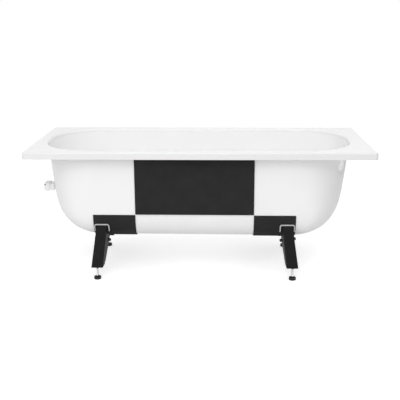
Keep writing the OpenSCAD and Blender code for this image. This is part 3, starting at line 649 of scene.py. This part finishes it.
ground_coat = finish("ground_coat", (0.60, 0.60, 0.585), 0.5, tone=(30.0, 0.05),
                     relief_scales=(160.0, 1200.0), grain_share=0.4, depth=0.00012)
for corner, hood_x in HOOD_X.items():
    outer, inner = hood_path(0, ARM_Z), hood_path(-HOOD_WALL, ARM_Z)
    outline = np.concatenate([outer, inner[::-1]]) + [hood_x, 0]
    part = prism(outline, wall_y(outline[:, 0], outline[:, 1], -WELD),
                 wall_y(outline[:, 0], outline[:, 1], -MAT_OFF - HOOD_PROUD))
    hood = mesh_piece("hood_" + corner, *(mirrored(part) if "back" in corner else part))
    soft_edges(hood, HOOD_EDGE)
    dress(hood, ground_coat, "tub", "leg_hood_" + corner, slot="ground_coat")

# Legs: blanks of 3 mm steel, pressed into channels that open to the rear, with a folded foot plate
# and ears for the bolt, then dipped in black paint. They lean outwards and widen towards the foot.
LEG_WALL = 0.003
LEG_BEND = 0.005
LEAN = np.radians(7.6)
TAPER = np.tan(np.radians(0.9))
SPLAY = np.tan(np.radians(2.5))
LEG_WIDTH = 0.045
PLATE_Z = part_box("leg_front_left")[0][2]
PLATE_DEPTH = 0.048
HEEL = (0.070, 0.020)
BOLT_BACK = 0.100
BOLT_DOWN = 0.030
BOLT_Z = RIM_Z - DEPTH - BOLT_DOWN
EAR_RADIUS = 0.018
LEG_ROOM = 0.0005
LEAST_FLANGE = 0.001
PLATE_INSIDE = 0.001
LEG_EDGE = 0.0004
BOLT_RADIUS = 0.004
BOLT_ROOM = 0.0005
TOOL_HOLE_RADIUS = 0.003
TOOL_HOLE_UP = 0.049
LEG_DRILL = 0.12


def flange_depth(x, z):
    """How far a flange reaches behind the web at height z: along the plate, up the heel, round the
    ear, then along the sloping edge until the tub's own surface cuts it."""
    edge = np.interp(z, [PLATE_Z, PLATE_Z + HEEL[1], BOLT_Z, BOLT_Z + EAR_RADIUS, HEAD_Z],
                     [PLATE_DEPTH, HEEL[0], BOLT_BACK + EAR_RADIUS, BOLT_BACK, 0])
    ear = BOLT_BACK + np.sqrt(np.clip(EAR_RADIUS ** 2 - (z - BOLT_Z) ** 2, 0, None))
    edge = np.where(np.abs(z - BOLT_Z) < EAR_RADIUS, np.maximum(edge, ear), edge)
    above = z > RIM_Z - DEPTH - MAT_OFF - LEG_ROOM
    tub = wall_y(np.full_like(z, x), z, -MAT_OFF - LEG_ROOM) - WEB_Y
    return np.where(above, np.minimum(edge, tub), edge)


def leg_place(across, behind, z, corner):
    """World points from a leg's own frame: across its web, behind it, at height z, leaning."""
    outwards = -1 if "left" in corner else 1
    y = WEB_Y + behind
    down = HEAD_Z - z
    x = HOOD_X[corner] + outwards * (down * np.tan(LEAN)) - outwards * across / np.cos(LEAN)
    return np.stack(np.broadcast_arrays(x, -y if "back" in corner else y, z), axis=-1)


def channel_line(half, radius, depth, steps):
    """Across and behind for points round a channel: flange, bend, web, bend, flange. steps is the
    place along it, from -3 to 3, with the bends between 1 and 2 on either side."""
    side, place = np.sign(steps), np.abs(steps)
    turn = np.clip(place - 1, 0, 1) * np.pi / 2
    flange = np.clip(place - 2, 0, 1)
    flat = np.clip(place, 0, 1) * (half - radius)
    behind = radius * (1 - np.cos(turn)) + flange * (depth - radius)
    across = flat + radius * np.sin(turn) + SPLAY * np.maximum(behind - radius, 0)
    return side * across, behind


def leg_sheet(corner, inwards):
    """The leg's surface, inwards of the outer one: rows up the leg by points round the channel."""
    round_ear = BOLT_Z + EAR_RADIUS * np.sin(np.linspace(-1.5, 1.5, 25))
    z = np.unique(np.concatenate([np.linspace(PLATE_Z, HEAD_Z, 60), round_ear, [PLATE_Z + HEEL[1]]]))[:, None]
    flange = np.linspace(2, 3, 14)
    steps = np.concatenate([-flange[::-1], -np.linspace(1, 2, 7)[-2::-1], np.linspace(-1, 1, 9)[1:-1],
                            np.linspace(1, 2, 7)[:-1], flange])[None, :]
    half = LEG_WIDTH / 2 + TAPER * (HEAD_Z - z) / np.cos(LEAN) - inwards
    depth = np.maximum(flange_depth(HOOD_X[corner], z), LEG_BEND + LEAST_FLANGE) - inwards
    across, behind = channel_line(half, LEG_BEND - inwards, depth, steps)
    return leg_place(across, behind + inwards, z, corner)


def foot_plate(corner):
    """The foot plate: a slab to the plate's edge, which starts inside the web and the flanges."""
    z = PLATE_Z + np.array([0, LEG_WALL])[:, None, None]
    behind = np.linspace(PLATE_INSIDE, PLATE_DEPTH, 8)[None, :, None]
    share = np.linspace(-1, 1, 5)[None, None, :]
    half = LEG_WIDTH / 2 + TAPER * (HEAD_Z - PLATE_Z) + SPLAY * behind - PLATE_INSIDE
    slab = leg_place(half * share, behind, z, corner)
    return skin(slab[0], slab[1])


black_paint = finish("black_dip_paint", (0.015, 0.015, 0.016), 0.5, tone=(25.0, 0.15), spread=0.15,
                     relief_scales=(220.0, 1400.0), grain_share=0.35, depth=0.00012,
                     Specular_IOR_Level=0.06)
bolt_frames = []
for corner in HOOD_X:
    inwards = 1 if "left" in corner else -1
    leg = mesh_piece("leg_channel_" + corner, *skin(leg_sheet(corner, LEG_WALL), leg_sheet(corner, 0)))
    bolt_at = leg_place(0, BOLT_BACK, BOLT_Z, corner)
    hole_at = leg_place(0, PLATE_DEPTH, PLATE_Z + TOOL_HOLE_UP, corner)
    across = np.array([inwards * np.cos(LEAN), 0, -np.sin(LEAN)])
    bolt_frames.append((bolt_at, across))
    cut_out(leg, [cylinder(bolt_at, across, BOLT_RADIUS + BOLT_ROOM, LEG_DRILL, 32),
                  cylinder(hole_at, across, TOOL_HOLE_RADIUS, LEG_DRILL, 24)])
    plate = mesh_piece("plate_" + corner, *foot_plate(corner))
    with bpy.context.temp_override(active_object=leg, selected_editable_objects=[leg, plate]):
        bpy.ops.object.join()
    soft_edges(leg, LEG_EDGE)
    dress(leg, black_paint, "tub", "leg_" + corner, slot="black_paint")

# Leg lugs: brackets of bent steel sheet, welded under the flat bottom inside each leg's channel, for
# the leg to be bolted to. They are the CAD's own solids, in the hoods' ground coat.
def coat_node(name, material):
    """Keeps a CAD node's own mesh, in a material of this scene."""
    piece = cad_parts[name]
    piece.data.materials.clear()
    piece.data.materials.append(material)


for corner in HOOD_X:
    coat_node("leg_lug_" + corner, ground_coat)

# Leg bolts and their nuts: M8, blackened, with flanged hexagons. Each bolt runs through both ears
# and the lug between them, with its head outside and its nut towards the middle of the tub.
BOLT_PITCH = 0.00125
BOLT_SIZE = 2 * BOLT_RADIUS
# The leg's sides splay and taper, so its width for the seats is taken one bolt size past the hole
BOLT_SEAT = (LEG_WIDTH / 2 + SPLAY * (BOLT_BACK + BOLT_SIZE)
             + TAPER * ((HEAD_Z - BOLT_Z) / np.cos(LEAN) + BOLT_SIZE))
BOLT_PAST = 0.010
BOLT_INTO_HEAD = 0.0005
BOLT_FLATS = 0.0128
BOLT_FLANGE = (0.0084, 0.0016)
BOLT_HEAD = 0.006
BOLT_NUT = 0.008
RUN_FIT = 0.00005
# A thread's depth in pitches, its chamfer, and how its triangle wave is cut flat at root and crest
THREAD_DEPTH = 0.57
THREAD_CHAMFER = 0.001
WAVE_GAIN = 1.15
WAVE_CUT = 0.08
# A hexagon's crown as a share of its flats, and a flange's rounded rim as shares of its own size
CROWN = 0.97
RIM_SHARES = (0.96, 0.2, 0.6)


def turned(profile, count=48):
    """A solid of revolution about Z, from (radius, height) points."""
    profile = np.asarray(profile)[:, None, :]
    turn = np.linspace(0, 2 * np.pi, count, endpoint=False)[None, :]
    points = np.stack([profile[..., 0] * np.cos(turn), profile[..., 0] * np.sin(turn),
                       np.broadcast_to(profile[..., 1], (len(profile), count))], axis=-1)
    return points, grid_faces(len(profile), count, closed=True)


def placed(part, origin, axis=(0, 0, 1)):
    """(points, faces) with Z turned to axis and then moved to origin."""
    points, faces = part
    turn = np.array(Vector(axis).to_track_quat("Z", "Y").to_matrix())
    return np.asarray(points).reshape(-1, 3) @ turn.T + origin, faces


def threaded(low, high, size, pitch, per_turn=8, count=28):
    """A threaded rod of radius size along Z: its radius falls from the crest by a triangle wave of
    the height less the turn, with a chamfered upper end and closed ends."""
    z = np.arange(low, high, pitch / per_turn)[:, None]
    turn = np.linspace(0, 2 * np.pi, count, endpoint=False)[None, :]
    phase = (z / pitch - turn / (2 * np.pi)) % 1
    fall = np.clip(np.abs(2 * phase - 1) * WAVE_GAIN - WAVE_CUT, 0, 1)
    radius = size - THREAD_DEPTH * pitch * fall
    chamfer_low = high - THREAD_CHAMFER
    radius = np.minimum(radius, size + (chamfer_low - z) * (z > chamfer_low))
    radius[[0, -1]] = 0
    level = np.broadcast_to(z, radius.shape)
    points = np.stack([radius * np.cos(turn), radius * np.sin(turn), level], axis=-1)
    points[[0, -1], :, 2] = z[[1, -2]]
    return points, grid_faces(len(z), count, closed=True)


def hexagon_head(flats, height, bore, flange=None, count=72):
    """A hexagon from Z = 0 up, solid where bore is 0. At each turn its radius is the hexagon's, cut
    at the top by a 30 degree cone, and at the foot by the same cone or a flange of (radius, height)."""
    turn = np.linspace(0, 2 * np.pi, count, endpoint=False)
    hexagon = flats / 2 / np.cos((turn + np.pi / 6) % (np.pi / 3) - np.pi / 6)
    crown = CROWN * flats / 2
    chamfer = (hexagon - crown) * np.tan(np.radians(30))
    if flange:
        wide, thick = flange
        inner, low, high = RIM_SHARES
        foot = [(bore, 0), (inner * wide, 0), (wide, low * thick), (wide, high * thick), (hexagon, thick)]
    else:
        foot = [(bore, 0), (crown, 0), (hexagon, chamfer)]
    rings = foot + [(hexagon, height - chamfer), (crown, height), (bore, height), (bore, 0)]
    radius, z = (np.stack([np.broadcast_to(ring[k], count) for ring in rings]) for k in (0, 1))
    points = np.stack([radius * np.cos(turn), radius * np.sin(turn), z], axis=-1)
    return points, grid_faces(len(rings), count, closed=True)


blackened = finish("blackened_steel", (0.03, 0.03, 0.032), 0.4, tone=(60.0, 0.15), spread=0.25,
                   relief_scales=(300.0, 2500.0), grain_share=0.5, depth=0.00004)
bolt_head = hexagon_head(BOLT_FLATS, BOLT_HEAD, 0, BOLT_FLANGE)
bolt_shank = threaded(-BOLT_SEAT - BOLT_INTO_HEAD, BOLT_SEAT + BOLT_PAST, BOLT_RADIUS, BOLT_PITCH)
bolt_nut = hexagon_head(BOLT_FLATS, BOLT_NUT, BOLT_RADIUS + RUN_FIT, BOLT_FLANGE)
bolts, bolt_nuts = [], []
for bolt_at, inward in bolt_frames:
    bolts.append(placed(bolt_head, bolt_at - BOLT_SEAT * inward, -inward))
    bolts.append(placed(bolt_shank, bolt_at, inward))
    bolt_nuts.append(placed(bolt_nut, bolt_at + BOLT_SEAT * inward, inward))
dress(mesh_piece("flanged_bolts", *joined(bolts)), blackened, "tub", "leg_bolts", slot="black_steel")
dress(mesh_piece("flanged_nuts", *joined(bolt_nuts)), blackened, "tub", "leg_bolt_nuts", slot="black_steel")

# Screw feet: M10 studs of bright steel, each turned in a moulded black bush in the foot plate and
# locked by a zinc plated nut. Each stands in a moulded black pad with a thick rim.
STUD_RADIUS = 0.005
STUD_PITCH = 0.0015
STUD_CREASE = 60
BORE = STUD_RADIUS + RUN_FIT
NUT_FLATS = 0.017
SOCKET = 0.0065
SPIGOT_RADIUS = 0.00625
SPIGOT_END = (0.0057, 0.001)
COLLAR_RADIUS = 0.011
COLLAR_EDGE = 0.0005
zinc = finish("zinc_plate", (0.60, 0.61, 0.62), 0.34, tone=(60.0, 0.08), spread=0.25, metallic=1.0,
              relief_scales=(300.0, 2500.0), grain_share=0.5, depth=0.00004)
bright = finish("bright_stud", (0.80, 0.81, 0.82), 0.25, tone=(80.0, 0.04), spread=0.2, metallic=1.0,
                relief_scales=(200.0, 2500.0), grain_share=0.5, depth=0.00002)
moulding = finish("black_moulding", (0.010, 0.010, 0.011), 0.4, tone=(60.0, 0.1), Specular_IOR_Level=0.35,
                  relief_scales=(500.0, 2200.0), grain_share=0.5, depth=0.00008)
bush_low, bush_high = (v[2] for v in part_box("foot_bushes"))
nut_low, nut_high = (v[2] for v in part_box("lock_nuts"))
plate_top = PLATE_Z + LEG_WALL
bush = turned([(BORE, bush_low), (SPIGOT_END[0], bush_low), (SPIGOT_RADIUS, bush_low + SPIGOT_END[1]),
               (SPIGOT_RADIUS, plate_top), (COLLAR_RADIUS - COLLAR_EDGE, plate_top),
               (COLLAR_RADIUS, plate_top + COLLAR_EDGE), (COLLAR_RADIUS, bush_high - COLLAR_EDGE),
               (COLLAR_RADIUS - COLLAR_EDGE, bush_high), (BORE, bush_high), (BORE, bush_low)])
# The pad's outline: foot, rim, rounded shoulder, then the slope up to the neck round the stud
pad = turned([(0, 0), (0.0145, 0), (0.016, 0.0012), (0.016, 0.0108), (0.0157, 0.0121), (0.0148, 0.0129),
              (0.0095, 0.0143), (0.0082, 0.0150), (0.0075, 0.0158), (0.0072, 0.016), (BORE, 0.016),
              (BORE, SOCKET), (0, SOCKET)], 64)
lock_nut = hexagon_head(NUT_FLATS, nut_high - nut_low, BORE)
bushes, lock_nuts = [], []
for corner in HOOD_X:
    low, high = (np.array(v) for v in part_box("foot_stud_" + corner))
    foot = np.array([(low[0] + high[0]) / 2, (low[1] + high[1]) / 2, 0])
    stud = mesh_piece("threaded_stud_" + corner, sharp=STUD_CREASE,
                      *placed(threaded(low[2], high[2], STUD_RADIUS, STUD_PITCH), foot))
    dress(stud, bright, "stud_" + corner, "foot_stud_" + corner, slot="bright_steel")
    dress(mesh_piece("moulded_pad_" + corner, *placed(pad, foot)), moulding, "pad_" + corner,
          "foot_pad_" + corner, slot="black_plastic")
    bushes.append(placed(bush, foot))
    lock_nuts.append(placed(lock_nut, foot + [0, 0, nut_low]))
dress(mesh_piece("moulded_bushes", *joined(bushes)), moulding, "tub", "foot_bushes", slot="black_plastic")
dress(mesh_piece("hexagon_lock_nuts", *joined(lock_nuts)), zinc, "tub", "lock_nuts", slot="zinc_steel")

# Bonding terminal on the left end wall: a steel tab welded to the shell, and a moulded housing in
# two halves, screwed together round the wire of the house's earthing.
HOUSING_CORNER = 0.004
HOUSING_EDGE = 0.003
SCREW_HEAD = (0.0026, 0.002)
SCREW_EDGE = (0.0004, 0.0005)
SCREW_SHANK = 0.0015
SCREW_SLOT = (0.01, 0.0012, 0.00035)


def soft_block(low, high, corner, edge):
    """A block with upright corners of radius corner and its other edges rounded by edge: rings of a
    rounded rectangle whose inset follows a quarter circle at the bottom and at the top."""
    low, high = np.array(low), np.array(high)
    centre, half = (low + high) / 2, (high - low) / 2
    quarter_turn = np.linspace(0, np.pi / 2, 7)
    shrinks = edge * np.concatenate([1 - np.sin(quarter_turn), 1 - np.cos(quarter_turn)])
    rise = edge * (1 - np.cos(quarter_turn))
    z = np.concatenate([low[2] + rise, high[2] - rise[::-1]])
    rings = []
    for shrink, level in zip(shrinks, z):
        turn = np.concatenate([quarter_turn + k * np.pi / 2 for k in range(4)])
        across = np.repeat([[1, 1], [-1, 1], [-1, -1], [1, -1]], len(quarter_turn), axis=0)
        out = np.stack([np.cos(turn), np.sin(turn)], axis=-1)
        ring_points = centre[:2] + across * (half[:2] - corner) + (corner - shrink) * out
        rings.append(np.column_stack([ring_points, np.full(len(turn), level)]))
    ends = [np.tile([*centre[:2], level], (len(rings[0]), 1)) for level in (z[0], z[-1])]
    points = np.stack([ends[0], *rings, ends[1]])
    return points, grid_faces(len(points), points.shape[1], closed=True)


# The housing is white plastic, its white painted a little lighter than the plastic's own, as painted light
# against the shade under the rim.
white_plastic = finish("white_moulding_and_painted_light", (0.97, 0.97, 0.97), 0.38, tone=(50.0, 0.02),
                       relief_scales=(300.0, 2000.0), grain_share=0.4, depth=0.00005)
for name in ("terminal_block", "terminal_cap"):
    housing = mesh_piece("moulded_" + name, *soft_block(*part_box(name), HOUSING_CORNER, HOUSING_EDGE))
    dress(housing, white_plastic, "tub", name, slot="white_plastic")
coat_node("terminal_lug", zinc)
screw_low, screw_high = (np.array(v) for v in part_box("terminal_screw"))
screw_front = (screw_low + screw_high) / 2
screw_front[1] = screw_low[1]
screw_length = screw_high[1] - screw_low[1]
head_radius, head_thick = SCREW_HEAD
screw_side = turned([(0, 0), (head_radius - SCREW_EDGE[0], 0), (head_radius, SCREW_EDGE[1]),
                     (head_radius, head_thick), (SCREW_SHANK, head_thick), (SCREW_SHANK, screw_length),
                     (0, screw_length)])
screw = mesh_piece("slotted_screw", *placed(screw_side, screw_front, (0, 1, 0)))
slot_reach = np.array(SCREW_SLOT)
cut_out(screw, [box_part(screw_front - slot_reach, screw_front + slot_reach)])
dark_zinc = finish("dark_zinc", (0.07, 0.07, 0.075), 0.5, tone=(60.0, 0.1), spread=0.25, metallic=1.0,
                   relief_scales=(300.0, 2500.0), grain_share=0.5, depth=0.00004)
dress(screw, dark_zinc, "tub", "terminal_screw", slot="zinc_steel")

# The studio: a white floor that keeps the tub's shadow, soft lamps in front of the tub, beside it and
# above it, and a camera where the photograph's was, found from the four corners of the rim.
def seen_value(tree, plain, shown):
    """The value shown, for the camera, reflections and glass, and the value plain for other rays."""
    rays = node(tree, "LightPath")
    bent_ray = node(tree, "Math", [(0, rays.outputs["Is Glossy Ray"]),
                                   (1, rays.outputs["Is Transmission Ray"])], operation="MAXIMUM")
    any_ray = node(tree, "Math", [(0, rays.outputs["Is Camera Ray"]), (1, bent_ray.outputs["Value"])],
                   operation="MAXIMUM")
    return node(tree, "MapRange", [("Value", any_ray.outputs["Value"])], To_Min=plain, To_Max=shown)


FLOOR_REACH = 40
FLOOR_GREY = 0.80
FLOOR_LIFT = (0.6, 0.7)
LIFT_REACH = (1.5, 4.0)
SKY_LIGHT = 0.42
floor = mesh_piece("studio_floor", np.array([[-1, -1, 0], [1, -1, 0], [1, 1, 0], [-1, 1, 0]]) * FLOOR_REACH,
                   [[0, 1, 2, 3]])
floor_paint = bpy.data.materials.new("studio_floor_paint")
floor_paint.use_nodes = True
floor_shader = floor_paint.node_tree.nodes["Principled BSDF"]
floor_shader.inputs["Roughness"].default_value = 1.0
floor_shader.inputs["Specular IOR Level"].default_value = 0.0
floor_shader.inputs["Base Color"].default_value = (FLOOR_GREY, FLOOR_GREY, FLOOR_GREY, 1)
floor_shader.inputs["Emission Color"].default_value = (1, 1, 1, 1)
floor_place = node(floor_paint.node_tree, "TexCoord")
away = node(floor_paint.node_tree, "VectorMath", [(0, floor_place.outputs["Object"])], operation="LENGTH")
lift = node(floor_paint.node_tree, "MapRange", [("Value", away.outputs["Value"])],
            From_Min=LIFT_REACH[0], From_Max=LIFT_REACH[1], To_Min=FLOOR_LIFT[0], To_Max=FLOOR_LIFT[1])
floor_seen = seen_value(floor_paint.node_tree, 0.0, 1.0)
floor_paint.node_tree.links.new(lift.outputs["Result"], floor_seen.inputs["To Max"])
floor_paint.node_tree.links.new(floor_seen.outputs["Result"], floor_shader.inputs["Emission Strength"])
floor.data.materials.append(floor_paint)
# It goes with a foot's pad, so that the feet still stand on it when all are screwed in or out
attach(floor, "pad_front_left")

world = bpy.data.worlds.new("studio")
bpy.context.scene.world = world
world.use_nodes = True
sky_light = world.node_tree.nodes["Background"]
sky_light.inputs["Color"].default_value = (1, 1, 1, 1)
sky_seen = seen_value(world.node_tree, SKY_LIGHT, 1.0)
world.node_tree.links.new(sky_seen.outputs["Result"], sky_light.inputs["Strength"])


def soft_light(name, at, aim, size, watts):
    """A square area light at a point, turned to face another."""
    lamp = bpy.data.lights.new(name, "AREA")
    lamp.shape = "SQUARE"
    lamp.size = size
    lamp.energy = watts
    piece = bpy.data.objects.new(name, lamp)
    bpy.context.scene.collection.objects.link(piece)
    piece.location = at
    piece.rotation_mode = "QUATERNION"
    piece.rotation_quaternion = Vector(np.asarray(at, float) - aim).to_track_quat("Z", "Y")


TUB_MIDDLE = (0, 0, 0.35)
soft_light("front", (-0.6, -4.4, 2.6), TUB_MIDDLE, 2.6, 60)
soft_light("left", (-4.2, -2.8, 1.7), TUB_MIDDLE, 2.6, 24)
soft_light("high", (-0.2, -2.6, 3.6), TUB_MIDDLE, 2.4, 38)
soft_light("overhead", (0.0, 0.0, 3.4), TUB_MIDDLE, 3.0, 17)
soft_light("right", (1.6, 0.0, 3.2), (-0.7, 0, 0.5), 1.6, 14)

CAMERA_AT = (0.0780, -3.6139, RIM_Z + 0.6209)
TILT = 0.19688
YAW = 0.02294
ROLL = -0.00234
FRAME_SHIFT = -0.10
LENS_TO_SENSOR = 1.98504
camera = bpy.data.objects.new("camera", bpy.data.cameras.new("camera"))
bpy.context.scene.collection.objects.link(camera)
camera.data.lens = LENS_TO_SENSOR * camera.data.sensor_width
camera.data.shift_y = FRAME_SHIFT
camera.location = CAMERA_AT
camera.rotation_mode = "QUATERNION"
level_view = Euler((np.pi / 2 - TILT, 0, YAW)).to_quaternion()
camera.rotation_quaternion = level_view @ Quaternion((0, 0, 1), ROLL)
bpy.context.scene.camera = camera
bpy.context.scene.view_settings.view_transform = "Standard"
